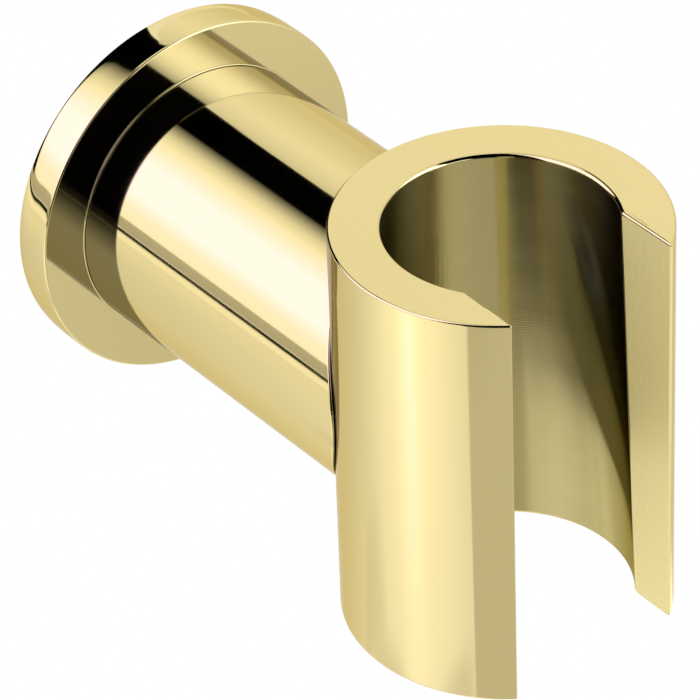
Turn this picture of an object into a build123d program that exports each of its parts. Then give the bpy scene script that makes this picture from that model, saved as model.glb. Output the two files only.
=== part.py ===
from build123d import *
import os

# Hand shower holder: an open cup on a stout round neck, with a round flange against the wall.
# Millimetres. The wall is the plane Y = 0, the neck runs out along -Y and +Z is up.

# Cup
cup_diameter = 32.0
cup_height = 43.5
bore_top_diameter = 22.0
bore_bottom_diameter = 24.6
slot_width = 18.7
cup_chamfer = 0.3  # on every edge of the ends, the bore's mouths and the slot

# Neck
reach = 51.5  # from the wall to the cup's axis
neck_diameter = 28.4
neck_chamfer = 0.2  # where the neck meets the flange
saddle_chamfer = 0.4  # where the neck meets the cup

# Flange
flange_diameter = 38.0
flange_thickness = 4.4
flange_front_chamfer = 0.6
flange_back_chamfer = 0.6

# Wall base, the post that the flange and the neck slip over
base_diameter = 22.0
base_length = 15.0
base_chamfer = 0.5
wall_hole_diameter = 4.5
wall_hole_spacing = 10.0
wall_head_diameter = 7.8  # counterbore for a wall screw's head
wall_head_seat = 5.0  # from the wall to the counterbore's floor

# Grub screw under the neck, with its cone point in a groove round the post
grub_diameter = 4.0
grub_setback = 5.0  # from the flange's face to the screw's axis
grub_length = 3.5
grub_tip_diameter = 0.6
grub_key = 2.0  # across the flats
grub_key_depth = 1.4
groove_depth = 1.2

# Countersunk screw from inside the bore, through the cup's back into the neck
screw_diameter = 5.0
screw_length = 16.0
screw_head_diameter = 10.0
screw_head_rim = 0.3  # height of the head's straight edge
screw_sink = 0.2  # from the bore's wall to the head's flat
screw_key = 3.0  # across the flats
screw_key_depth = 1.9

# Clearances
slip_fit = 0.1  # between the post and what slips over it, on the radius
seat_gap = 0.05  # between a screw or saddle and its seat
blind_room = 0.6  # past the end of whatever goes into a blind hole

# Places along the neck, as distances from the wall
grub_place = flange_thickness + grub_setback
head_place = reach - (bore_top_diameter + bore_bottom_diameter) / 4 - screw_sink
screw_end = head_place - screw_length

STAND = (Align.CENTER, Align.CENTER, Align.MIN)


def bar(diameter, start, end):
    """A round bar on the neck's axis between two distances from the wall."""
    return Pos(0, -start, 0) * Rot(90, 0, 0) * Cylinder(diameter / 2, end - start, align=STAND)


def taper(start_diameter, end_diameter, start, end):
    """A cone on the neck's axis between two distances from the wall."""
    cone = Cone(start_diameter / 2, end_diameter / 2, end - start, align=STAND)
    return Pos(0, -start, 0) * Rot(90, 0, 0) * cone


def rim(part, distance, diameter):
    """The circular edge of a turned part at one distance from the wall."""
    circles = part.edges().filter_by(GeomType.CIRCLE)
    return circles.filter_by(
        lambda e: abs(e.radius - diameter / 2) < 1e-4 and abs(e.arc_center.Y + distance) < 1e-4
    )


def countersunk(grow, end):
    """The outline of the cup's screw, grown by a gap, from its head's flat to a distance from the wall."""
    cone_height = (screw_head_diameter - screw_diameter) / 2
    under_rim = head_place - screw_head_rim
    under_head = under_rim - cone_height
    head = screw_head_diameter + 2 * grow
    shank = screw_diameter + 2 * grow
    return (
        bar(head, under_rim, head_place)
        + taper(shank, head, under_head, under_rim)
        + bar(shank, end, under_head)
    )


def make_cup():
    """A turned cup with a bore that widens downwards, slit along its front."""
    end = cup_height / 2
    bottom_wall = [(bore_bottom_diameter / 2, -end), (cup_diameter / 2, -end)]
    top_wall = [(cup_diameter / 2, end), (bore_top_diameter / 2, end)]
    cup = revolve(Plane.XZ * Polygon(*bottom_wall, *top_wall, align=None), Axis.Z)
    cup -= Box(slot_width, cup_diameter, 2 * cup_height, align=(Align.CENTER, Align.MAX, Align.CENTER))
    cup = Pos(0, -reach, 0) * chamfer(cup.edges(), cup_chamfer)
    return cup - countersunk(seat_gap, 0) - bar(screw_head_diameter + 2 * seat_gap, head_place, reach)


def make_neck():
    """A round bar with a saddle for the cup, a socket for the post and holes for both screws."""
    neck = bar(neck_diameter, flange_thickness, reach)
    neck = chamfer(rim(neck, flange_thickness, neck_diameter), neck_chamfer)
    neck -= Pos(0, -reach, 0) * Cylinder(cup_diameter / 2 + seat_gap, 2 * neck_diameter)
    neck = chamfer(neck.edges().sort_by(Axis.Y)[0], saddle_chamfer)
    neck -= bar(base_diameter + 2 * slip_fit, 0, base_length + blind_room)
    neck -= bar(screw_diameter + 2 * seat_gap, screw_end - blind_room, reach)
    grub_hole = Cylinder(grub_diameter / 2 + seat_gap, neck_diameter, align=STAND)
    return neck - Pos(0, -grub_place, 0) * Rot(180, 0, 0) * grub_hole


def make_flange():
    """A disc with broken edges and a hole for the post."""
    flange = bar(flange_diameter, 0, flange_thickness)
    flange = chamfer(rim(flange, flange_thickness, flange_diameter), flange_front_chamfer)
    flange = chamfer(rim(flange, 0, flange_diameter), flange_back_chamfer)
    return flange - bar(base_diameter + 2 * slip_fit, 0, flange_thickness)


def make_wall_base():
    """A post with a vee groove for the grub screw and a pair of counterbored holes for wall screws."""
    post = bar(base_diameter, 0, base_length)
    post = chamfer(rim(post, base_length, base_diameter), base_chamfer)
    floor_diameter = base_diameter - 2 * groove_depth
    ring = bar(base_diameter, grub_place - groove_depth, grub_place + groove_depth)
    ring -= taper(base_diameter, floor_diameter, grub_place - groove_depth, grub_place)
    ring -= taper(floor_diameter, base_diameter, grub_place, grub_place + groove_depth)
    post -= ring
    for side in (-1, 1):
        hole = bar(wall_hole_diameter, 0, base_length)
        hole += bar(wall_head_diameter, wall_head_seat, base_length)
        post -= Pos(side * wall_hole_spacing / 2, 0, 0) * hole
    return post


def hexagon(key, depth):
    """A hexagonal key socket standing on the XY plane."""
    return extrude(RegularPolygon(key / 2, 6, major_radius=False), depth)


def make_grub_screw():
    """A socket set screw, point up, its cone close against the flanks of the post's groove."""
    point_height = (grub_diameter - grub_tip_diameter) / 2
    shank_length = grub_length - point_height
    shank = Cylinder(grub_diameter / 2, shank_length, align=STAND)
    point = Cone(grub_diameter / 2, grub_tip_diameter / 2, point_height, align=STAND)
    screw = shank + Pos(0, 0, shank_length) * point - hexagon(grub_key, grub_key_depth)
    groove_floor = base_diameter / 2 - groove_depth
    tip = groove_floor + seat_gap * 2**0.5 + grub_tip_diameter / 2
    return Pos(0, -grub_place, -tip - grub_length) * screw


def make_cup_screw():
    """A countersunk socket screw, its head below the wall of the bore."""
    socket = Pos(0, -head_place, 0) * Rot(-90, 0, 0) * hexagon(screw_key, screw_key_depth)
    return countersunk(0, screw_end) - socket


parts = {
    "cup": make_cup(),
    "neck": make_neck(),
    "flange": make_flange(),
    "wall_base": make_wall_base(),
    "grub_screw": make_grub_screw(),
    "cup_screw": make_cup_screw(),
}

os.makedirs("parts", exist_ok=True)
for name, solid in parts.items():
    export_step(solid, f"parts/{name}.step")
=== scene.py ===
# %% [markdown]
# # A hand shower holder in polished brass
#
# The holder is an upright cup, bored and slit so that a hand shower's hose slips in from the front. A stout
# round neck carries the cup, and a round flange hides the screws in the wall. The shapes are plain turned
# work, so nearly all that the eye sees is what the mirror finish reflects. This lesson therefore spends its
# care on three things: even, rounded edges, a brass that is almost a mirror, and the small studio around it.
#
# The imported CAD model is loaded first, as a frame. The wall is the plane Y = 0, the neck runs out along -Y
# and Z is up, all in metres.

import math

import bmesh
import bpy
from mathutils import Matrix, Vector


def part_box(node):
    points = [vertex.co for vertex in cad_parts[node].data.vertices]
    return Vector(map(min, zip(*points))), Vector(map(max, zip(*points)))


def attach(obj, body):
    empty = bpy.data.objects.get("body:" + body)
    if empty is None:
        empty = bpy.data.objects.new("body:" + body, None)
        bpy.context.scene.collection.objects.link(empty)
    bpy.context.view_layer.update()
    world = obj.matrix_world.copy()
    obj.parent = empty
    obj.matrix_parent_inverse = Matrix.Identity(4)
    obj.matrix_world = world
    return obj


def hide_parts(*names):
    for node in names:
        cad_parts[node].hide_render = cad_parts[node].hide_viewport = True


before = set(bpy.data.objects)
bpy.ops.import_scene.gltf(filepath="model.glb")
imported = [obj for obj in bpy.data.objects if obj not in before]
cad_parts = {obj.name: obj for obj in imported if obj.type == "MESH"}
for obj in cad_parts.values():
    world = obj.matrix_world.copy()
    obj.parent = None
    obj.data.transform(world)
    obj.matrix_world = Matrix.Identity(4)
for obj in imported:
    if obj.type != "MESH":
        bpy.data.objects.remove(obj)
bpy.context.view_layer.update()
MM = 0.001
print("nodes of the frame:", ", ".join(sorted(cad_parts)))

# %% [markdown]
# ## The sizes
#
# Whatever the frame can tell is read from its boxes, so that the new pieces always fit the CAD ones. The
# rest, such as roundings and the holes inside, is written in millimetres where it is first needed.

# %% Read the sizes
cup_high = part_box("cup")[1]
neck_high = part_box("neck")[1]
flange_low, flange_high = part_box("flange")

CUP_RADIUS = cup_high.x
CUP_END = cup_high.z
REACH = CUP_RADIUS - cup_high.y
NECK_RADIUS = neck_high.x
FLANGE_RADIUS = flange_high.x
FLANGE_FACE = flange_low.y
print(f"cup {2 * CUP_RADIUS / MM:.1f} mm across, {2 * CUP_END / MM:.1f} mm high, {REACH / MM:.1f} mm out")

# %% [markdown]
# ## Turned pieces
#
# A lathe works from a section, and so does Blender's spin: draw half of the section of a piece, round its
# corners, and turn the outline about the axis. The flange, the neck and the cup all start in that way.
#
# The corners are rounded while they are still points of a flat face. That keeps every rounding the same all
# the way round, and the face is thrown away afterwards because only its outline is spun. Where a section
# runs from the axis to the axis, the edge that lies on the axis is taken out before the spin.

# %% Draw a section and turn it
ROUND_STEPS = 6
TURN_STEPS = 256
SAME_PLACE = 0.0005 * MM


def draw_section(bm, corners, roundings, steps=ROUND_STEPS):
    """Leaves the outline of a section in the bmesh, with the named corners rounded."""
    points = [bm.verts.new(corner) for corner in corners]
    bm.faces.new(points)
    for place, radius in roundings.items():
        bmesh.ops.bevel(
            bm, geom=[points[place]], offset=radius, offset_type="OFFSET", affect="VERTICES",
            segments=steps, profile=0.5, material=-1,
        )
    bmesh.ops.delete(bm, geom=bm.faces[:], context="FACES_ONLY")


def open_at_axis(bm):
    """Takes out the edges of a section that lie on the axis."""
    on_axis = [e for e in bm.edges if all(v.co.x < SAME_PLACE for v in e.verts)]
    bmesh.ops.delete(bm, geom=on_axis, context="EDGES")


def turn_section(bm, axis):
    """Turns the outline once round an axis through the origin and closes its seam and poles."""
    bmesh.ops.spin(
        bm, geom=bm.verts[:] + bm.edges[:], cent=(0, 0, 0), axis=axis, angle=2 * math.pi,
        steps=TURN_STEPS, use_merge=True,
    )
    bmesh.ops.remove_doubles(bm, verts=bm.verts[:], dist=SAME_PLACE)
    bmesh.ops.recalc_face_normals(bm, faces=bm.faces[:])


print(f"one turn takes {TURN_STEPS} steps of {360 / TURN_STEPS:.1f} degrees")

# %% [markdown]
# ## The flange
#
# The real flange is a disc that was turned and then buffed. Buffing takes a little more off near an edge, so
# the rim isn't quite straight: it is crowned, and falls by up to 0.15 mm towards the wall. A mirror shows
# even that, as a bend in each reflection that runs over the rim.
#
# A fine lip stands up round the neck. It draws the thin line that is seen where the two pieces meet.

# %% Turn the flange
POST_HOLE_RADIUS = 11.1 * MM
FLANGE_FRONT_ROUND = 0.2 * MM
FLANGE_BACK_ROUND = 0.25 * MM
CROWN_STEPS = 11
CROWN_BACK_DROP = 0.15 * MM
CROWN_FRONT_DROP = 0.05 * MM
LIP_OUT = 0.15 * MM
LIP_HEIGHT = 0.12 * MM
LIP_ROUND = 0.1 * MM
LIP_GAP = 0.03 * MM

crown = []
for step in range(2 * CROWN_STEPS + 1):
    from_middle = step / CROWN_STEPS - 1
    drop = (CROWN_BACK_DROP if from_middle < 0 else CROWN_FRONT_DROP) * abs(from_middle) ** 3
    crown.append((FLANGE_RADIUS - drop, FLANGE_FACE * (from_middle + 1) / 2, 0))

flange_shape = bmesh.new()
back_edge, front_edge, lip_edge = 1, len(crown), len(crown) + 2
draw_section(
    flange_shape,
    [
        (POST_HOLE_RADIUS, 0, 0),
        *crown,
        (NECK_RADIUS + LIP_OUT, FLANGE_FACE, 0),
        (NECK_RADIUS + LIP_OUT, FLANGE_FACE - LIP_HEIGHT, 0),
        (NECK_RADIUS + LIP_GAP, FLANGE_FACE - LIP_HEIGHT, 0),
        (NECK_RADIUS + LIP_GAP, FLANGE_FACE, 0),
        (POST_HOLE_RADIUS, FLANGE_FACE, 0),
    ],
    {back_edge: FLANGE_BACK_ROUND, front_edge: FLANGE_FRONT_ROUND, lip_edge: LIP_ROUND},
)
turn_section(flange_shape, (0, 1, 0))
print("flange:", len(flange_shape.faces), "faces")

# %% [markdown]
# ## From a bmesh to a piece
#
# A mirror shows every fault of the shading. Smooth shading alone would bend the flat faces near their
# roundings, so a Weighted Normal modifier lets the large faces decide the normals and leaves the curving to
# the small ones. Each piece then takes the place of its CAD node and rides on the one body of the frame.

# %% Finish a piece
SHARP_ABOVE = math.radians(40)


def make_piece(bm, name, node):
    """Turns a finished bmesh into a piece that stands for a CAD node."""
    mesh = bpy.data.meshes.new(name)
    bm.to_mesh(mesh)
    bm.free()
    mesh.shade_smooth()
    mesh.set_sharp_from_angle(angle=SHARP_ABOVE)
    piece = bpy.data.objects.new(name, mesh)
    bpy.context.scene.collection.objects.link(piece)
    even = piece.modifiers.new("even_shading", "WEIGHTED_NORMAL")
    even.keep_sharp = True
    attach(piece, "root")
    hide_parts(node)
    print(f"{name}: {len(mesh.polygons)} faces")
    return piece


flange = make_piece(flange_shape, "flange_disc", "flange")

# %% [markdown]
# ## The neck
#
# The neck is a round bar. Its back end is bored for the post on the wall, and its front end is milled to a
# saddle that fits the cup. It is turned first with a flat front end, just as the real bar is, and the saddle
# comes after. The flat end gets some rings of points now, which the saddle will need.

# %% Turn the bar
SOCKET_END = -15.6 * MM
SCREW_HOLE_RADIUS = 2.55 * MM
SCREW_HOLE_END = -23.05 * MM
NECK_BACK_ROUND = 0.3 * MM
SADDLE_ROUND = 0.18 * MM
SADDLE_STEPS = 16
SADDLE_RINGS = 8
BAR_END = -36 * MM
LONG_EDGE = 1 * MM

neck_shape = bmesh.new()
back_corner, saddle_corner = 3, 4
draw_section(
    neck_shape,
    [
        (0, SOCKET_END, 0),
        (POST_HOLE_RADIUS, SOCKET_END, 0),
        (POST_HOLE_RADIUS, FLANGE_FACE, 0),
        (NECK_RADIUS, FLANGE_FACE, 0),
        (NECK_RADIUS, BAR_END, 0),
        (SCREW_HOLE_RADIUS, BAR_END, 0),
        (SCREW_HOLE_RADIUS, SCREW_HOLE_END, 0),
        (0, SCREW_HOLE_END, 0),
    ],
    {back_corner: NECK_BACK_ROUND, saddle_corner: SADDLE_ROUND},
    SADDLE_STEPS,
)
open_at_axis(neck_shape)
end_face = [
    e for e in neck_shape.edges
    if all(abs(v.co.y - BAR_END) < SAME_PLACE for v in e.verts) and e.calc_length() > LONG_EDGE
]
bmesh.ops.subdivide_edges(neck_shape, edges=end_face, cuts=SADDLE_RINGS)
turn_section(neck_shape, (0, 1, 0))
print("neck, still with a flat end:", len(neck_shape.faces), "faces")

# %% [markdown]
# ## The saddle
#
# Where two round bars meet, the edge between them goes from a right angle at the top to a thin wedge at the
# sides. On the real neck that edge was broken by polishing, which acts like a small ball rolled along it:
# the rounding stays tight at the top and grows broad at the sides. A bevel of even width would not do that.
#
# So the rings of the flat end are moved onto the path of the ball. Its centre keeps one ball's radius inside
# the neck and one outside the cup. The first ring of the rounding touches the neck, the last one touches
# the saddle, and the others lie on the arc between them. The rings further in go straight to the saddle.

# %% Press the end onto the cup
SEAT_GAP = 0.05 * MM
SADDLE_RADIUS = CUP_RADIUS + SEAT_GAP
ball_from_axis = NECK_RADIUS - SADDLE_ROUND
round_start = BAR_END + SADDLE_ROUND

for v in neck_shape.verts:
    from_axis = math.hypot(v.co.x, v.co.z)
    if from_axis > ball_from_axis - SAME_PLACE and v.co.y < round_start + SAME_PLACE:
        share = math.atan2(round_start - v.co.y, from_axis - ball_from_axis) / (math.pi / 2)
        out = Vector((v.co.x, 0, v.co.z)) / from_axis
        ball = out * ball_from_axis
        ball.y = math.sqrt((SADDLE_RADIUS + SADDLE_ROUND) ** 2 - ball.x**2) - REACH
        to_cup = Vector((-ball.x, -REACH - ball.y, 0)).normalized()
        v.co = ball + SADDLE_ROUND * out.slerp(to_cup, min(max(share, 0), 1))
    elif abs(v.co.y - BAR_END) < SAME_PLACE:
        v.co.y = math.sqrt(SADDLE_RADIUS**2 - v.co.x**2) - REACH
bmesh.ops.recalc_face_normals(neck_shape, faces=neck_shape.faces[:])
print(f"saddle tips at {min(v.co.y for v in neck_shape.verts) / MM:.2f} mm")
neck = make_piece(neck_shape, "neck_bar", "neck")

# %% [markdown]
# ## The hole for the grub screw
#
# A small screw under the neck locks it on the post. Its hole crosses the round wall, so it is drilled as in
# a workshop: a round cutter is taken away from the bar with a Boolean, and the result is kept as the mesh.

# %% Drill the neck
GRUB_HOLE_RADIUS = 2.05 * MM
GRUB_HOLE_PLACE = -9.4 * MM
HOLE_STEPS = 64


def cut_away(piece, tool):
    """Takes the shape of a closed bmesh out of a piece, for good."""
    mesh = bpy.data.meshes.new("cutter")
    tool.to_mesh(mesh)
    tool.free()
    cutter = bpy.data.objects.new("cutter", mesh)
    bpy.context.scene.collection.objects.link(cutter)
    even = piece.modifiers["even_shading"]
    even.show_viewport = False
    cut = piece.modifiers.new("cut", "BOOLEAN")
    cut.object = cutter
    cut.solver = "EXACT"
    shown = piece.evaluated_get(bpy.context.evaluated_depsgraph_get())
    old, piece.data = piece.data, bpy.data.meshes.new_from_object(shown)
    piece.data.set_sharp_from_angle(angle=SHARP_ABOVE)
    piece.modifiers.remove(cut)
    even.show_viewport = True
    bpy.data.meshes.remove(old)
    bpy.data.objects.remove(cutter)
    bpy.data.meshes.remove(mesh)
    print(f"{piece.name} after the cut: {len(piece.data.polygons)} faces")


drill = bmesh.new()
bmesh.ops.create_cone(
    drill, cap_ends=True, segments=HOLE_STEPS, radius1=GRUB_HOLE_RADIUS, radius2=GRUB_HOLE_RADIUS,
    depth=2 * (NECK_RADIUS - POST_HOLE_RADIUS),
)
middle_of_wall = -(NECK_RADIUS + POST_HOLE_RADIUS) / 2
bmesh.ops.translate(drill, verts=drill.verts[:], vec=(0, GRUB_HOLE_PLACE, middle_of_wall))
cut_away(neck, drill)

# %% [markdown]
# ## The cup
#
# The cup is turned too, but its slot has parallel faces. Cutting the slot out of a full ring would leave
# slivers next to it, which round badly. Instead the section is spun only from one side of the slot to the
# other, and then every ring of points is stretched along its own circle until its two ends lie exactly on
# the slot's faces. The open ends are filled.

# %% Turn the cup
BORE_TOP_RADIUS = 11.0 * MM
BORE_BOTTOM_RADIUS = 12.3 * MM
SLOT_HALF = 9.35 * MM
CUP_STEPS = 96


def half_turn_to_slot(radius):
    """The angle from the back of the cup to the slot's face, along a circle of this radius."""
    return math.pi - math.asin(SLOT_HALF / radius)


cup_shape = bmesh.new()
draw_section(
    cup_shape,
    [
        (0, BORE_BOTTOM_RADIUS, -CUP_END),
        (0, CUP_RADIUS, -CUP_END),
        (0, CUP_RADIUS, CUP_END),
        (0, BORE_TOP_RADIUS, CUP_END),
    ],
    {},
)
half_turn = half_turn_to_slot(CUP_RADIUS)
bmesh.ops.rotate(
    cup_shape, verts=cup_shape.verts[:], cent=(0, 0, 0), matrix=Matrix.Rotation(half_turn, 3, "Z")
)
bmesh.ops.spin(
    cup_shape, geom=cup_shape.verts[:] + cup_shape.edges[:], cent=(0, 0, 0), axis=(0, 0, -1),
    angle=2 * half_turn, steps=CUP_STEPS,
)
for v in cup_shape.verts:
    radius = math.hypot(v.co.x, v.co.y)
    angle = math.atan2(v.co.x, v.co.y) * half_turn_to_slot(radius) / half_turn
    v.co.x, v.co.y = radius * math.sin(angle), radius * math.cos(angle)

slot_rims = [e for e in cup_shape.edges if e.is_boundary]
bmesh.ops.holes_fill(cup_shape, edges=slot_rims, sides=0)
bmesh.ops.recalc_face_normals(cup_shape, faces=cup_shape.faces[:])
print("cup, still with sharp edges:", len(cup_shape.faces), "faces")

# %% [markdown]
# ## The cup's edges
#
# The edges are rounded in three goes, so that each bevel ends cleanly in the one made before it: first the
# two upright tips beside the slot, then the mouths of the bore, and last whatever is still sharp. The tips
# and the mouths are the broadest, because the hose and the shower's cone rub there.

# %% Round the cup's edges
TIP_ROUND = 0.405 * MM
MOUTH_ROUND = 0.45 * MM
EDGE_ROUND = 0.24 * MM
EDGE_STEPS = 4
SHARP_EDGE = math.radians(30)


def round_edges(bm, edges, radius, steps):
    """Rounds the given edges and prints how many there were."""
    print("edges rounded:", len(edges))
    bmesh.ops.bevel(
        bm, geom=edges, offset=radius, offset_type="OFFSET", affect="EDGES", segments=steps,
        profile=0.5, material=-1,
    )


def sharp_edges(bm):
    """The edges at which two faces meet at a clear angle."""
    return [e for e in bm.edges if e.calc_face_angle() > SHARP_EDGE]


def from_cup_axis(edge):
    """The mean distance of an edge's ends from the axis."""
    return sum(v.co.xy.length for v in edge.verts) / 2


upright = [e for e in slot_rims if abs(e.verts[0].co.z - e.verts[1].co.z) > CUP_END]
tips = [e for e in upright if from_cup_axis(e) > CUP_RADIUS - MOUTH_ROUND]
round_edges(cup_shape, tips, TIP_ROUND, ROUND_STEPS)
mouths = [
    e for e in sharp_edges(cup_shape)
    if from_cup_axis(e) < BORE_BOTTOM_RADIUS + MOUTH_ROUND and e.calc_length() < LONG_EDGE
]
round_edges(cup_shape, mouths, MOUTH_ROUND, ROUND_STEPS)
round_edges(cup_shape, sharp_edges(cup_shape), EDGE_ROUND, EDGE_STEPS)
bmesh.ops.translate(cup_shape, verts=cup_shape.verts[:], vec=(0, -REACH, 0))
cup = make_piece(cup_shape, "cup_turned", "cup")

# %% [markdown]
# ## The seat of the cup's screw
#
# A countersunk screw holds the cup on the neck from inside the bore. Its seat is a pocket, a cone and a
# hole, so the cutter is turned from that section and taken out of the cup's back.

# %% Countersink the cup
SEAT_POCKET_RADIUS = 5.05 * MM
SEAT_RIM = -39.35 * MM
SEAT_CONE_END = -36.85 * MM
SEAT_HOLE_END = -30 * MM

countersink = bmesh.new()
draw_section(
    countersink,
    [
        (0, -REACH, 0),
        (SEAT_POCKET_RADIUS, -REACH, 0),
        (SEAT_POCKET_RADIUS, SEAT_RIM, 0),
        (SCREW_HOLE_RADIUS, SEAT_CONE_END, 0),
        (SCREW_HOLE_RADIUS, SEAT_HOLE_END, 0),
        (0, SEAT_HOLE_END, 0),
    ],
    {},
)
open_at_axis(countersink)
turn_section(countersink, (0, 1, 0))
cut_away(cup, countersink)

# %% [markdown]
# ## Which face has which finish
#
# The bore was turned and the slot milled, and both were left satin, while the outside was polished. So the
# faces that look straight at the cup's axis get the second material slot of the cup, and the two flat faces
# of the slot get the third. In the photograph the rounded tip on the right of the slot is as satin as the
# slot, so it goes with it, while the tip on the left is polished.

# %% Mark the bore and the slot
POLISHED, BORED, MILLED = 0, 1, 2
BORE_WALL = 1.5 * MM
STRAIGHT_IN, STRAIGHT_OUT = 0.98, -0.995
SIDEWAYS, LEVEL = 0.999, 0.1


def finish_of(face):
    """The material slot of a face of the cup."""
    to_axis = -(face.center + Vector((0, REACH, 0)))
    to_axis.z = 0
    looks_in = face.normal.dot(to_axis.normalized())
    if looks_in > STRAIGHT_IN and to_axis.length < BORE_BOTTOM_RADIUS + BORE_WALL:
        return BORED
    if abs(face.normal.x) > SIDEWAYS and abs(abs(face.center.x) - SLOT_HALF) < SAME_PLACE:
        return MILLED
    outermost = to_axis.length > CUP_RADIUS - TIP_ROUND and face.center.x > 0
    rounded_tip = looks_in > STRAIGHT_OUT and abs(face.normal.z) < LEVEL
    return MILLED if outermost and rounded_tip else POLISHED


for face in cup.data.polygons:
    face.material_index = finish_of(face)
for finish, kind in (("bored", BORED), ("milled", MILLED)):
    print(finish, "faces:", sum(face.material_index == kind for face in cup.data.polygons))

# %% [markdown]
# ## Colours and nodes
#
# Colours are written as sRGB hex values, as a picture editor shows them, and one function turns them to the
# linear values that Blender mixes light with. A second one adds a node: it sets the node's options, gives
# its sockets plain values, and links those that are fed by another node.
#
# The Mix node has sockets of the same names for numbers and for colours, so they are picked by their place.
# The values of a noise texture lie mostly between 0.3 and 0.7, so that is the range that is spread out.

# %% Helpers for materials
COLOUR_A, COLOUR_B, MIXED_COLOUR = 6, 7, 2
NUMBER_A, NUMBER_B, MIXED_NUMBER = 2, 3, 0
NOISE_LOW, NOISE_HIGH = 0.3, 0.7


def linear(hex_colour):
    """sRGB hex to linear red, green, blue and alpha."""
    shares = [int(hex_colour[i : i + 2], 16) / 255 for i in (1, 3, 5)]
    return [s / 12.92 if s <= 0.04045 else ((s + 0.055) / 1.055) ** 2.4 for s in shares] + [1.0]


def add_node(tree, kind, sockets, **options):
    """One node with its options, socket values and links."""
    made = tree.nodes.new(kind)
    for option, value in options.items():
        setattr(made, option, value)
    for socket, value in sockets.items():
        if isinstance(value, bpy.types.NodeSocket):
            tree.links.new(value, made.inputs[socket])
        else:
            made.inputs[socket].default_value = value
    return made


def new_material(name):
    """An empty node material and its output."""
    material = bpy.data.materials.new(name)
    material.use_nodes = True
    material.node_tree.nodes.clear()
    return material, material.node_tree, material.node_tree.nodes.new("ShaderNodeOutputMaterial")


print("brass in linear light:", [round(c, 3) for c in linear("#EDDEA8")])

# %% [markdown]
# ## Polished brass
#
# The outside is brass, ground and then buffed to a mirror. To the eye that gives crisp reflections in a pale
# yellow, with lines that waver a little because a buffed surface is never quite true. Hands leave a thin
# haze that softens the gloss in places.

# %% Polished brass
BUFFING_WAVE = 6 * MM
BUFFING_HEIGHT = 0.03 * MM
HAZE_PATCH = 14 * MM

polished_brass, tree, output = new_material("polished_brass")
place = add_node(tree, "ShaderNodeTexCoord", {}).outputs["Object"]
haze = add_node(
    tree, "ShaderNodeTexNoise",
    {"Vector": place, "Scale": 1 / HAZE_PATCH, "Detail": 4.0, "Roughness": 0.6},
).outputs["Fac"]
gloss = add_node(
    tree, "ShaderNodeMapRange",
    {"Value": haze, "From Min": NOISE_LOW, "From Max": NOISE_HIGH, "To Min": 0.045, "To Max": 0.08},
).outputs["Result"]
tone = add_node(
    tree, "ShaderNodeMix",
    {"Factor": haze, COLOUR_A: linear("#ECDDA7"), COLOUR_B: linear("#EEDFA9")},
    data_type="RGBA",
).outputs[MIXED_COLOUR]
wave = add_node(
    tree, "ShaderNodeTexNoise",
    {"Vector": place, "Scale": 1 / BUFFING_WAVE, "Detail": 1.0, "Roughness": 0.4},
).outputs["Fac"]
waver = add_node(
    tree, "ShaderNodeBump",
    {"Height": wave, "Strength": 0.12, "Distance": BUFFING_HEIGHT},
).outputs["Normal"]
surface = add_node(
    tree, "ShaderNodeBsdfPrincipled",
    {
        "Base Color": tone, "Metallic": 1.0, "Roughness": gloss, "Normal": waver,
        "Specular Tint": linear("#F4E6BC"),
    },
).outputs["BSDF"]
tree.links.new(surface, output.inputs["Surface"])
for piece in (cup, neck, flange):
    piece.data.materials.append(polished_brass)
print("polished brass on the cup, neck and flange")

# %% [markdown]
# ## Bored brass
#
# A boring tool leaves fine rings round the bore, about a tenth of a millimetre apart. They are too fine for
# the picture, so they are drawn three times coarser. The rings tilt the surface only up and down, so light is
# drawn out along the bore and stays sharp round it, which gives the upright streaks seen in such bores. The
# shader does that with its anisotropy, along a tangent that runs round the bore.

# %% Bored brass
RING_SPACING = 0.3 * MM
RING_DEPTH = 0.01 * MM
RING_LENGTH = 80 * MM
TOOL_DRIFT = 3 * MM
WAVE_PERIOD = math.pi / 10  # of a wave texture at a scale of 1

bored_brass, tree, output = new_material("bored_brass")
place = add_node(tree, "ShaderNodeTexCoord", {}).outputs["Object"]
rings = add_node(
    tree, "ShaderNodeTexWave", {"Vector": place, "Scale": WAVE_PERIOD / RING_SPACING},
    bands_direction="Z",
).outputs["Fac"]
across_rings = add_node(
    tree, "ShaderNodeMapping",
    {"Vector": place, "Scale": (1 / RING_LENGTH, 1 / RING_LENGTH, 1 / TOOL_DRIFT)},
).outputs["Vector"]
drift = add_node(
    tree, "ShaderNodeTexNoise",
    {"Vector": across_rings, "Scale": 1.0, "Detail": 2.0, "Roughness": 0.5},
).outputs["Fac"]
tone = add_node(
    tree, "ShaderNodeMix",
    {"Factor": drift, COLOUR_A: linear("#C2B681"), COLOUR_B: linear("#CEC28D")},
    data_type="RGBA",
).outputs[MIXED_COLOUR]
gloss = add_node(
    tree, "ShaderNodeMapRange",
    {"Value": drift, "From Min": NOISE_LOW, "From Max": NOISE_HIGH, "To Min": 0.165, "To Max": 0.2},
).outputs["Result"]
grooves = add_node(
    tree, "ShaderNodeBump",
    {"Height": rings, "Strength": 0.25, "Distance": RING_DEPTH},
).outputs["Normal"]
facing = add_node(tree, "ShaderNodeNewGeometry", {}).outputs["Normal"]
round_bore = add_node(
    tree, "ShaderNodeVectorMath", {0: (0, 0, 1), 1: facing}, operation="CROSS_PRODUCT"
).outputs[0]
surface = add_node(
    tree, "ShaderNodeBsdfPrincipled",
    {
        "Base Color": tone, "Metallic": 1.0, "Roughness": gloss, "Normal": grooves,
        "Specular Tint": linear("#C8BC87"), "Anisotropic": 1.0, "Anisotropic Rotation": 0.25,
        "Tangent": round_bore,
    },
).outputs["BSDF"]
tree.links.new(surface, output.inputs["Surface"])
cup.data.materials.append(bored_brass)
print("bored brass in the bore")

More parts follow.
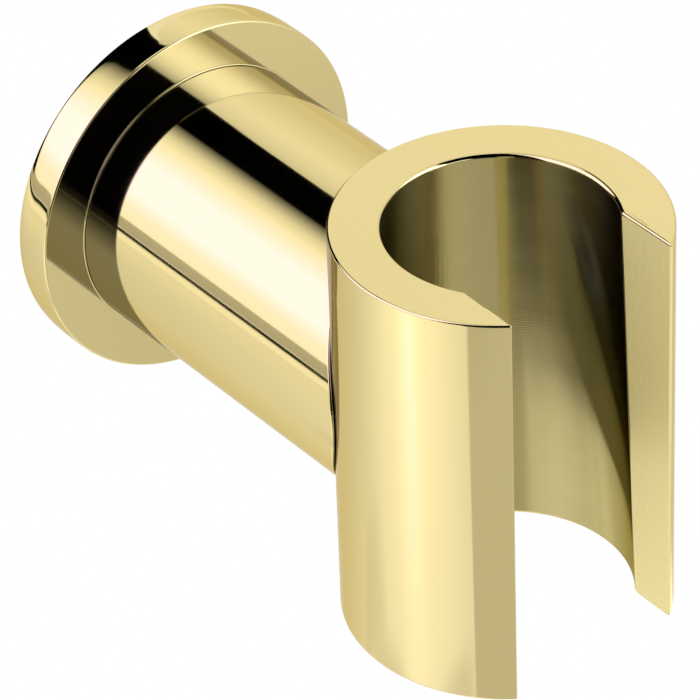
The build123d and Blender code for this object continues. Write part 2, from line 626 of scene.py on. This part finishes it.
# %% [markdown]
# ## Milled brass
#
# A cutter went up the slot and left its two faces flat and satin, with faint upright streaks along its path.
# Its fine marks scatter most of the light and mirror only a part of it, as a soft glow, so the shader is
# only partly metallic. That sets the faces off from the polished wall next to them.

# %% Milled brass
CUTTER_STREAK = 0.6 * MM
STREAK_LENGTH = 60 * MM

milled_brass, tree, output = new_material("milled_brass")
place = add_node(tree, "ShaderNodeTexCoord", {}).outputs["Object"]
along_path = add_node(
    tree, "ShaderNodeMapping",
    {"Vector": place, "Scale": (1 / CUTTER_STREAK, 1 / CUTTER_STREAK, 1 / STREAK_LENGTH)},
).outputs["Vector"]
streaks = add_node(
    tree, "ShaderNodeTexNoise",
    {"Vector": along_path, "Scale": 1.0, "Detail": 2.0, "Roughness": 0.5},
).outputs["Fac"]
tone = add_node(
    tree, "ShaderNodeMix",
    {"Factor": streaks, COLOUR_A: linear("#F7E8A9"), COLOUR_B: linear("#FAEBAC")},
    data_type="RGBA",
).outputs[MIXED_COLOUR]
gloss = add_node(
    tree, "ShaderNodeMapRange",
    {"Value": streaks, "From Min": NOISE_LOW, "From Max": NOISE_HIGH, "To Min": 0.26, "To Max": 0.28},
).outputs["Result"]
surface = add_node(
    tree, "ShaderNodeBsdfPrincipled",
    {"Base Color": tone, "Metallic": 0.3, "Roughness": gloss, "Specular Tint": linear("#EADCA7")},
).outputs["BSDF"]
tree.links.new(surface, output.inputs["Surface"])
cup.data.materials.append(milled_brass)
print("milled brass on the slot's faces")

# %% [markdown]
# ## Turned brass
#
# The post inside the flange is brass left as the lathe made it: fine grooves run round it, and it never saw
# a buffing wheel. To the eye it is duller and a little darker than the polished pieces.

# %% Turned brass
TURNING_SPACING = 0.3 * MM
TURNING_DEPTH = 0.03 * MM
TURNING_LENGTH = 40 * MM

turned_brass, tree, output = new_material("turned_brass")
place = add_node(tree, "ShaderNodeTexCoord", {}).outputs["Object"]
along_post = add_node(
    tree, "ShaderNodeMapping",
    {"Vector": place, "Scale": (1 / TURNING_LENGTH, 1 / TURNING_SPACING, 1 / TURNING_LENGTH)},
).outputs["Vector"]
grooves = add_node(
    tree, "ShaderNodeTexNoise",
    {"Vector": along_post, "Scale": 1.0, "Detail": 3.0, "Roughness": 0.6},
).outputs["Fac"]
tone = add_node(
    tree, "ShaderNodeMix",
    {"Factor": grooves, COLOUR_A: linear("#CBB47A"), COLOUR_B: linear("#E2CC8E")},
    data_type="RGBA",
).outputs[MIXED_COLOUR]
relief = add_node(
    tree, "ShaderNodeBump",
    {"Height": grooves, "Strength": 0.5, "Distance": TURNING_DEPTH},
).outputs["Normal"]
surface = add_node(
    tree, "ShaderNodeBsdfPrincipled",
    {"Base Color": tone, "Metallic": 1.0, "Roughness": 0.28, "Normal": relief},
).outputs["BSDF"]
tree.links.new(surface, output.inputs["Surface"])
print("turned brass ready")

# %% [markdown]
# ## Zinc plated steel
#
# The two socket screws are zinc plated steel, a cool grey with a faint crystalline mottle. The CAD shapes of
# the screws and of the post are right as they are, so those nodes only get their materials.

# %% Zinc plated steel
PLATING_SPANGLE = 0.8 * MM

plated_steel, tree, output = new_material("zinc_plated_steel")
place = add_node(tree, "ShaderNodeTexCoord", {}).outputs["Object"]
spangle = add_node(
    tree, "ShaderNodeTexNoise",
    {"Vector": place, "Scale": 1 / PLATING_SPANGLE, "Detail": 3.0, "Roughness": 0.55},
).outputs["Fac"]
tone = add_node(
    tree, "ShaderNodeMix",
    {"Factor": spangle, COLOUR_A: linear("#A9ABAD"), COLOUR_B: linear("#C4C5C4")},
    data_type="RGBA",
).outputs[MIXED_COLOUR]
gloss = add_node(
    tree, "ShaderNodeMapRange",
    {"Value": spangle, "From Min": NOISE_LOW, "From Max": NOISE_HIGH, "To Min": 0.24, "To Max": 0.38},
).outputs["Result"]
surface = add_node(
    tree, "ShaderNodeBsdfPrincipled", {"Base Color": tone, "Metallic": 1.0, "Roughness": gloss}
).outputs["BSDF"]
tree.links.new(surface, output.inputs["Surface"])
for node, finish in (("wall_base", turned_brass), ("grub_screw", plated_steel), ("cup_screw", plated_steel)):
    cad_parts[node].material_slots[0].material = finish
    print(node, "is", finish.name)

# %% [markdown]
# ## The colours of light
#
# A mirror needs something to mirror, and the colour of that light matters as much as its shape. A white card
# under studio lamps is a little warm. A lamp's own cover is warm too, but its brightest part is too much for
# a film: all that goes past the film's limit is recorded as a cool white, and so a highlight on yellow brass
# turns cream and then white instead of orange.

# %% Colours of cards and lamps
WARM_WHITE = linear("#FFFBED")
FILM_LIMIT = 1.15
BURNT_OUT = (0.3, 0.17, 0.78)


def warm(level):
    """The colour of a lit card."""
    return [level * channel for channel in WARM_WHITE[:3]]


def neutral(level):
    """The colour of a card under plain white light."""
    return [level] * 3


def burnt_out(level):
    """The colour of a lamp's cover: warm at its dim parts, and cool where it is too bright for the film."""
    over = max(level - FILM_LIMIT, 0)
    return [base + share * over for base, share in zip(warm(min(level, FILM_LIMIT)), BURNT_OUT)]


print("a lamp's cover at level 2:", [round(c, 2) for c in burnt_out(2)])

# %% [markdown]
# Where the neck, the flange and the cup mirror each other, the photograph is darker and more olive than one
# brass colour multiplied by itself. So the light of the cards and of the floor loses a fixed share, more red
# than blue, at every mirror reflection after the first. The Light Path node counts the reflections.

# %% Ramps and further reflections
FURTHER_REFLECTION = (0.46, 0.52, 0.85)
MOST_REFLECTIONS = 6


def set_stops(ramp, stops):
    """Gives a colour ramp its stops, as pairs of place and colour."""
    while len(ramp.color_ramp.elements) < len(stops):
        ramp.color_ramp.elements.new(1.0)
    for element, (at, colour) in zip(ramp.color_ramp.elements, stops):
        element.position = at
        element.color = [*colour, 1.0]


def dimmed(tree, colour):
    """A colour that loses a fixed share at each mirror reflection after the first."""
    light_path = add_node(tree, "ShaderNodeLightPath", {}).outputs
    reflections = add_node(
        tree, "ShaderNodeMath", {0: light_path["Ray Depth"], 1: light_path["Diffuse Depth"]},
        operation="SUBTRACT",
    ).outputs[0]
    share = add_node(
        tree, "ShaderNodeMath", {0: reflections, 1: MOST_REFLECTIONS}, operation="DIVIDE"
    ).outputs[0]
    loss = add_node(tree, "ShaderNodeValToRGB", {"Fac": share})
    loss.color_ramp.interpolation = "CONSTANT"
    stops = [(0.0, (1.0, 1.0, 1.0))]
    for further in range(1, MOST_REFLECTIONS):
        at = (further + 0.5) / MOST_REFLECTIONS
        stops.append((at, [channel**further for channel in FURTHER_REFLECTION]))
    set_stops(loss, stops)
    return add_node(
        tree, "ShaderNodeMix", {"Factor": 1.0, COLOUR_A: colour, COLOUR_B: loss.outputs["Color"]},
        data_type="RGBA", blend_type="MULTIPLY",
    ).outputs[MIXED_COLOUR]


print("left after two further reflections:", [round(c**2, 2) for c in FURTHER_REFLECTION])

# %% [markdown]
# ## The studio
#
# Photographers build a tent of cards round such a piece: white ones where it should shine, black ones where
# it should draw a dark line. Here long cards run along the neck, so each one gives a straight band on it, and
# they are placed by their roll about the neck: 0 is straight up, 90 is to the right of someone who faces the
# wall. A card may be bright at one edge and fade to the other.
#
# The cards are there for the mirrors alone. The camera doesn't see them, and they light no matt surface.

# %% Make a card
CARD_DISTANCE = 1.2


def make_card(name, middle, half_width, half_length, levels, colour=warm):
    """A flat card that shines by the levels given across its width, as pairs of share and level."""
    mesh = bpy.data.meshes.new(name)
    sheet = bmesh.new()
    bmesh.ops.create_grid(sheet, x_segments=1, y_segments=1, size=1.0)
    sheet.to_mesh(mesh)
    sheet.free()
    card = bpy.data.objects.new(name, mesh)
    bpy.context.scene.collection.objects.link(card)
    facing = half_width.cross(half_length).normalized()
    stretched = Matrix((half_width, half_length, facing)).transposed()
    card.matrix_world = Matrix.Translation(middle) @ stretched.to_4x4()
    card.visible_camera = False
    card.visible_diffuse = False

    material, tree, output = new_material(name)
    place = add_node(tree, "ShaderNodeTexCoord", {}).outputs["Object"]
    across = add_node(tree, "ShaderNodeSeparateXYZ", {"Vector": place}).outputs["X"]
    place_across = add_node(
        tree, "ShaderNodeMapRange", {"Value": across, "From Min": -1.0, "From Max": 1.0}
    ).outputs["Result"]
    stops = [(at, colour(level)) for at, level in levels]
    peak = max(max(channels) for _, channels in stops) or 1.0
    ramp = add_node(tree, "ShaderNodeValToRGB", {"Fac": place_across})
    set_stops(ramp, [(at, [channel / peak for channel in channels]) for at, channels in stops])
    light = add_node(
        tree, "ShaderNodeEmission", {"Color": dimmed(tree, ramp.outputs["Color"]), "Strength": peak}
    ).outputs["Emission"]
    tree.links.new(light, output.inputs["Surface"])
    mesh.materials.append(material)
    return card


def card_along_neck(name, near, far, rolls, colour=warm):
    """A long card between two distances along Y, with its levels given by roll about the neck."""
    first, last = math.radians(rolls[0][0]), math.radians(rolls[-1][0])
    edge_a = Vector((math.sin(first), 0, math.cos(first))) * CARD_DISTANCE
    edge_b = Vector((math.sin(last), 0, math.cos(last))) * CARD_DISTANCE
    centre_roll, spread = (first + last) / 2, math.tan((last - first) / 2)
    levels = [
        (0.5 + math.tan(math.radians(roll) - centre_roll) / (2 * spread), level) for roll, level in rolls
    ]
    middle = (edge_a + edge_b) / 2 + Vector((0, (near + far) / 2, 0))
    half_length = Vector((0, (far - near) / 2, 0))
    return make_card(name, middle, (edge_b - edge_a) / 2, half_length, levels, colour)


print(f"cards stand {CARD_DISTANCE} m from the neck's axis")

# %% [markdown]
# The left softbox makes the broad white band along the neck, with a dimmer wall below it. Behind the top card
# hangs the back flag, which draws the black band. The right wall gives the long khaki slope on the far side,
# and the flags in front keep the metal that looks away from the wall dark, apart from the front softbox on
# the right. The far flag is a black sheet across the end of the studio.

# %% Set up the cards
BLACK = [(0.0, 0.0), (1.0, 0.0)]
FAR_FLAG_MIDDLE = Vector((-1.45, 1.6, 1.5))
FAR_FLAG_HALF_WIDTH = Vector((2.15, 0, 0))
FAR_FLAG_HALF_HEIGHT = Vector((0, 0, 1.6))

card_along_neck(
    "left_softbox", near=-0.25, far=4.0,
    rolls=[(-91, 1.4), (-80, 1.6), (-68, 2.5), (-44, 2.5), (-32, 1.8), (-24, 1.25), (-20, 1.04), (-16, 0.88),
           (-12, 0.6), (-8, 0.31), (-4, 0.03)],
    colour=burnt_out,
)
card_along_neck("top_card", near=-0.3, far=0.75, rolls=[(-4, 0.9), (21.6, 0.95)])
card_along_neck("back_flag", near=0.75, far=4.0, rolls=[(-4, 0.0), (21.6, 0.0)])
card_along_neck(
    "right_wall", near=-0.6, far=1.05,
    rolls=[(21.6, 0.76), (32, 0.92), (44, 1.0), (64, 0.89), (80, 0.81), (94, 0.84)],
)
card_along_neck("left_wall", near=-0.6, far=4.0, rolls=[(-99.5, 0.5), (-91, 0.55)])
card_along_neck("front_flag_low", near=-4.0, far=-0.2, rolls=[(-98, 0.0), (-36, 0.0)])
card_along_neck("front_flag_high", near=-4.0, far=-0.18, rolls=[(-36, 0.0), (24.5, 0.0)])
card_along_neck(
    "front_softbox", near=-4.0, far=-0.6,
    rolls=[(24.5, 0.9), (27, 1.4), (33, 2.13), (39, 2.57), (45, 2.86), (51, 2.96), (57, 2.9), (63, 2.77),
           (69, 2.48), (75, 2.15), (81, 1.82), (87, 1.51), (93, 1.41), (100, 1.3)],
    colour=neutral,
)
make_card("far_flag", FAR_FLAG_MIDDLE, FAR_FLAG_HALF_WIDTH, FAR_FLAG_HALF_HEIGHT, BLACK)

# %% [markdown]
# ## The floor
#
# The floor is a pale table top, well below the holder. The camera sees it as plain white paper, and looks
# straight through it from below. In the metal it shows a glow with light and shade painted into it: a painted
# pool of light on the left, cooler next to it, and painted shadows and painted light spots near the holder,
# where the lamps are partly covered or thrown back.

# %% Lay the floor
FLOOR = -0.13
FLOOR_LEFT, FLOOR_RIGHT = -0.4, 2.2
FLOOR_FRONT, FLOOR_BACK = -2.5, 3.0

floor_mesh = bpy.data.meshes.new("floor")
sheet = bmesh.new()
bmesh.ops.create_grid(sheet, x_segments=1, y_segments=1, size=0.5)
bmesh.ops.scale(sheet, verts=sheet.verts[:], vec=(FLOOR_RIGHT - FLOOR_LEFT, FLOOR_BACK - FLOOR_FRONT, 1))
bmesh.ops.translate(
    sheet, verts=sheet.verts[:],
    vec=((FLOOR_LEFT + FLOOR_RIGHT) / 2, (FLOOR_FRONT + FLOOR_BACK) / 2, FLOOR),
)
sheet.to_mesh(floor_mesh)
sheet.free()
floor = bpy.data.objects.new("floor", floor_mesh)
bpy.context.scene.collection.objects.link(floor)
print(f"floor {-FLOOR / MM:.0f} mm below the neck's axis")

# %% [markdown]
# The light on the floor is painted in two steps. A ramp outwards from the middle of the painted pool gives
# the main fall of the light, and a second ramp from right to left tints it. Each patch, a painted shadow or a
# painted light spot, then multiplies the level by its own factor, full inside and fading to 1 at the edge of
# its ellipse.

# %% Light on the floor
# The painted pool of light on the floor's glow.
POOL_MIDDLE = (-0.2, -0.008)
POOL_TURN = math.radians(164)
POOL_SIZE = (0.45, 0.2)
POOL_LEVELS = [
    (0.0, 1.5), (0.05, 1.4), (0.1, 1.22), (0.2, 1.06), (0.32, 1.02), (0.44, 0.96), (0.6, 0.88), (0.8, 0.8),
    (1.0, 0.76),
]
TINT_RIGHT, TINT_LEFT = 0.06, -0.32
SIDE_TINTS = [
    (0.0, (0.81, 0.81, 0.8)), (0.21, (0.81, 0.83, 0.91)), (0.37, (0.81, 0.83, 0.91)), (1.0, (1, 1, 1)),
]
# Painted shadows of the holder (factors below 1) and painted light spots (factors above 1) on the floor's
# glow.
PAINTED_SHADOWS_AND_LIGHT_SPOTS = [
    ((0.11, -0.095), (0.11, 0.11), 0.8),
    ((-0.108, -0.008), (0.03, 0.055), 0.6),
    ((-0.098, 0.056), (0.04, 0.035), 0.88),
    ((-0.13, -0.085), (0.018, 0.05), 0.76),
    ((-0.064, 0.05), (0.035, 0.018), 1.35),
    ((0.108, -0.008), (0.042, 0.03), 2.6),
    ((1.0, -1.0), (0.6, 0.6), 1.9),
]
PATCH_CORE = 0.4
RAMP_TOP = 2.0
FLOOR_GAIN = 2.5


def out_from(tree, place, middle, turn, size):
    """How far out a place lies in an ellipse on the floor: 0 in its middle and 1 at its edge."""
    inside = add_node(
        tree, "ShaderNodeMapping",
        {"Vector": place, "Location": (*middle, 0), "Rotation": (0, 0, turn), "Scale": (*size, 1)},
        vector_type="TEXTURE",
    ).outputs["Vector"]
    flat = add_node(
        tree, "ShaderNodeVectorMath", {0: inside, 1: (1, 1, 0)}, operation="MULTIPLY"
    ).outputs[0]
    return add_node(tree, "ShaderNodeVectorMath", {0: flat}, operation="LENGTH").outputs["Value"]


painted_light_floor, tree, output = new_material("painted_light_floor")
place = add_node(tree, "ShaderNodeTexCoord", {}).outputs["Object"]
from_pool = out_from(tree, place, POOL_MIDDLE, POOL_TURN, POOL_SIZE)
spread = add_node(tree, "ShaderNodeValToRGB", {"Fac": from_pool})
set_stops(spread, [(at, [channel / RAMP_TOP for channel in burnt_out(level)]) for at, level in POOL_LEVELS])
leftwards = add_node(tree, "ShaderNodeSeparateXYZ", {"Vector": place}).outputs["X"]
to_lamp = add_node(
    tree, "ShaderNodeMapRange", {"Value": leftwards, "From Min": TINT_RIGHT, "From Max": TINT_LEFT}
).outputs["Result"]
side = add_node(tree, "ShaderNodeValToRGB", {"Fac": to_lamp})
side.color_ramp.interpolation = "EASE"
set_stops(side, SIDE_TINTS)
lit = add_node(
    tree, "ShaderNodeMix",
    {"Factor": 1.0, COLOUR_A: spread.outputs["Color"], COLOUR_B: side.outputs["Color"]},
    data_type="RGBA", blend_type="MULTIPLY",
).outputs[MIXED_COLOUR]
shaded = FLOOR_GAIN
for middle, size, patch_level in PAINTED_SHADOWS_AND_LIGHT_SPOTS:
    from_patch = out_from(tree, place, middle, 0, size)
    change = add_node(
        tree, "ShaderNodeMapRange",
        {"Value": from_patch, "From Min": PATCH_CORE, "From Max": 1.0, "To Min": patch_level, "To Max": 1.0},
        interpolation_type="SMOOTHSTEP",
    ).outputs["Result"]
    shaded = add_node(tree, "ShaderNodeMath", {0: shaded, 1: change}, operation="MULTIPLY").outputs[0]
print("patches of light and shade:", len(PAINTED_SHADOWS_AND_LIGHT_SPOTS))

# %% [markdown]
# The camera must not see any of this. Light Path's Is Camera Ray swaps the light for plain white at a
# strength of 1, and on the underside for a clear surface.

# %% Finish the floor
seen = add_node(tree, "ShaderNodeLightPath", {}).outputs["Is Camera Ray"]
level = add_node(
    tree, "ShaderNodeMix", {"Factor": seen, NUMBER_A: shaded, NUMBER_B: 1.0}, data_type="FLOAT"
).outputs[MIXED_NUMBER]
colour = add_node(
    tree, "ShaderNodeMix", {"Factor": seen, COLOUR_A: lit, COLOUR_B: (1, 1, 1, 1)}, data_type="RGBA"
).outputs[MIXED_COLOUR]
light = add_node(
    tree, "ShaderNodeEmission", {"Color": dimmed(tree, colour), "Strength": level}
).outputs["Emission"]
from_below = add_node(tree, "ShaderNodeNewGeometry", {}).outputs["Backfacing"]
cleared = add_node(tree, "ShaderNodeMath", {0: seen, 1: from_below}, operation="MULTIPLY").outputs[0]
clear = add_node(tree, "ShaderNodeBsdfTransparent", {}).outputs["BSDF"]
surface = add_node(tree, "ShaderNodeMixShader", {0: cleared, 1: light, 2: clear}).outputs["Shader"]
tree.links.new(surface, output.inputs["Surface"])
floor_mesh.materials.append(painted_light_floor)
print("floor finished in", painted_light_floor.name)

# %% [markdown]
# ## The table's edge and the dark cloth
#
# On the left the table goes on as a bright strip and then ends in a dark edge, which draws the thin dark line
# along the underside of the neck; the strip is painted light and the edge is painted shade. In front a grey
# cloth lies on the table. It begins straight below the front of the cup, so its border gives the crisp
# upright
# line between the bright and the dull side of the cup, and it darkens further out, where the bore mirrors it:
# that darkening is painted shade.

# %% Table edge and front cloth
EDGE_WIDTH = 0.345
# Painted shade on the table's edge, then painted light on the strip beside it.
EDGE_LEVELS = [(0.0, 0.0), (0.432, 0.0), (0.486, 0.95), (0.672, 1.12), (0.945, 1.12), (1.0, 0.95)]
CLOTH_TURN = math.radians(-115)
CLOTH_FRONT = -0.0648
CLOTH_ABOVE_FLOOR = 0.002
CLOTH_SIZE = 1.6
# The cloth's grey, with painted shade that darkens it further out.
CLOTH_LEVELS = [
    (0.0, 0.64), (0.12, 0.62), (0.133, 0.58), (0.155, 0.5), (0.182, 0.39), (0.216, 0.295), (0.261, 0.207),
    (0.309, 0.127), (0.355, 0.08), (0.365, 0.085), (0.4, 0.125), (0.43, 0.12), (0.45, 0.03), (1.0, 0.0),
]

edge_middle = Vector((FLOOR_LEFT - EDGE_WIDTH / 2, (FLOOR_FRONT + FLOOR_BACK) / 2, FLOOR))
half_depth = Vector((0, (FLOOR_BACK - FLOOR_FRONT) / 2, 0))
make_card("floor_edge", edge_middle, Vector((EDGE_WIDTH / 2, 0, 0)), half_depth, EDGE_LEVELS)
corner = Vector((0, CLOTH_FRONT, FLOOR + CLOTH_ABOVE_FLOOR))
along = Vector((math.sin(CLOTH_TURN), math.cos(CLOTH_TURN), 0)) * CLOTH_SIZE / 2
out = Vector((-along.y, along.x, 0))
make_card("front_cloth", corner + along + out, along, out, CLOTH_LEVELS)
print("table edge and cloth in place")

# %% [markdown]
# ## The background
#
# Behind everything the camera sees plain white, and so does the metal wherever no card is in the way. Matt
# surfaces get a little more, because the cards give them nothing.

# %% World
MATT_LIGHT = 1.15

world = bpy.data.worlds.new("studio")
bpy.context.scene.world = world
world.use_nodes = True
tree = world.node_tree
tree.nodes.clear()
output = tree.nodes.new("ShaderNodeOutputWorld")
path = add_node(tree, "ShaderNodeLightPath", {}).outputs
seen = path["Is Camera Ray"]
for other in ("Is Glossy Ray", "Is Transmission Ray"):
    seen = add_node(tree, "ShaderNodeMath", {0: seen, 1: path[other]}, operation="MAXIMUM").outputs[0]
level = add_node(
    tree, "ShaderNodeMix", {"Factor": seen, NUMBER_A: MATT_LIGHT, NUMBER_B: 1.0}, data_type="FLOAT"
).outputs[MIXED_NUMBER]
sky = add_node(
    tree, "ShaderNodeBackground", {"Color": (1, 1, 1, 1), "Strength": level}
).outputs["Background"]
tree.links.new(sky, output.inputs["Surface"])
print("world ready")

# %% [markdown]
# ## The camera
#
# The photograph was taken from the left, above and well back, with a long lens: parallel edges stay almost
# parallel. The camera is turned a little about its own line of sight too.

# %% Camera
CAMERA_PLACE = Vector((-253.546, -360.839, 303.615)) * MM
CAMERA_RIGHT = Vector((0.78156, -0.62312, -0.02970))
CAMERA_BACK = Vector((-0.48723, -0.63947, 0.59472))

camera_data = bpy.data.cameras.new("camera")
camera_data.sensor_width = 36
camera_data.lens = 275.53
camera_data.clip_end = 10
camera = bpy.data.objects.new("camera", camera_data)
bpy.context.scene.collection.objects.link(camera)
back = CAMERA_BACK.normalized()
up = back.cross(CAMERA_RIGHT.normalized()).normalized()
turned = Matrix((up.cross(back), up, back)).transposed()
camera.matrix_world = Matrix.Translation(CAMERA_PLACE) @ turned.to_4x4()
bpy.context.scene.camera = camera
bpy.context.scene.view_settings.view_transform = "Standard"
print("camera at", [round(c, 3) for c in camera.location])
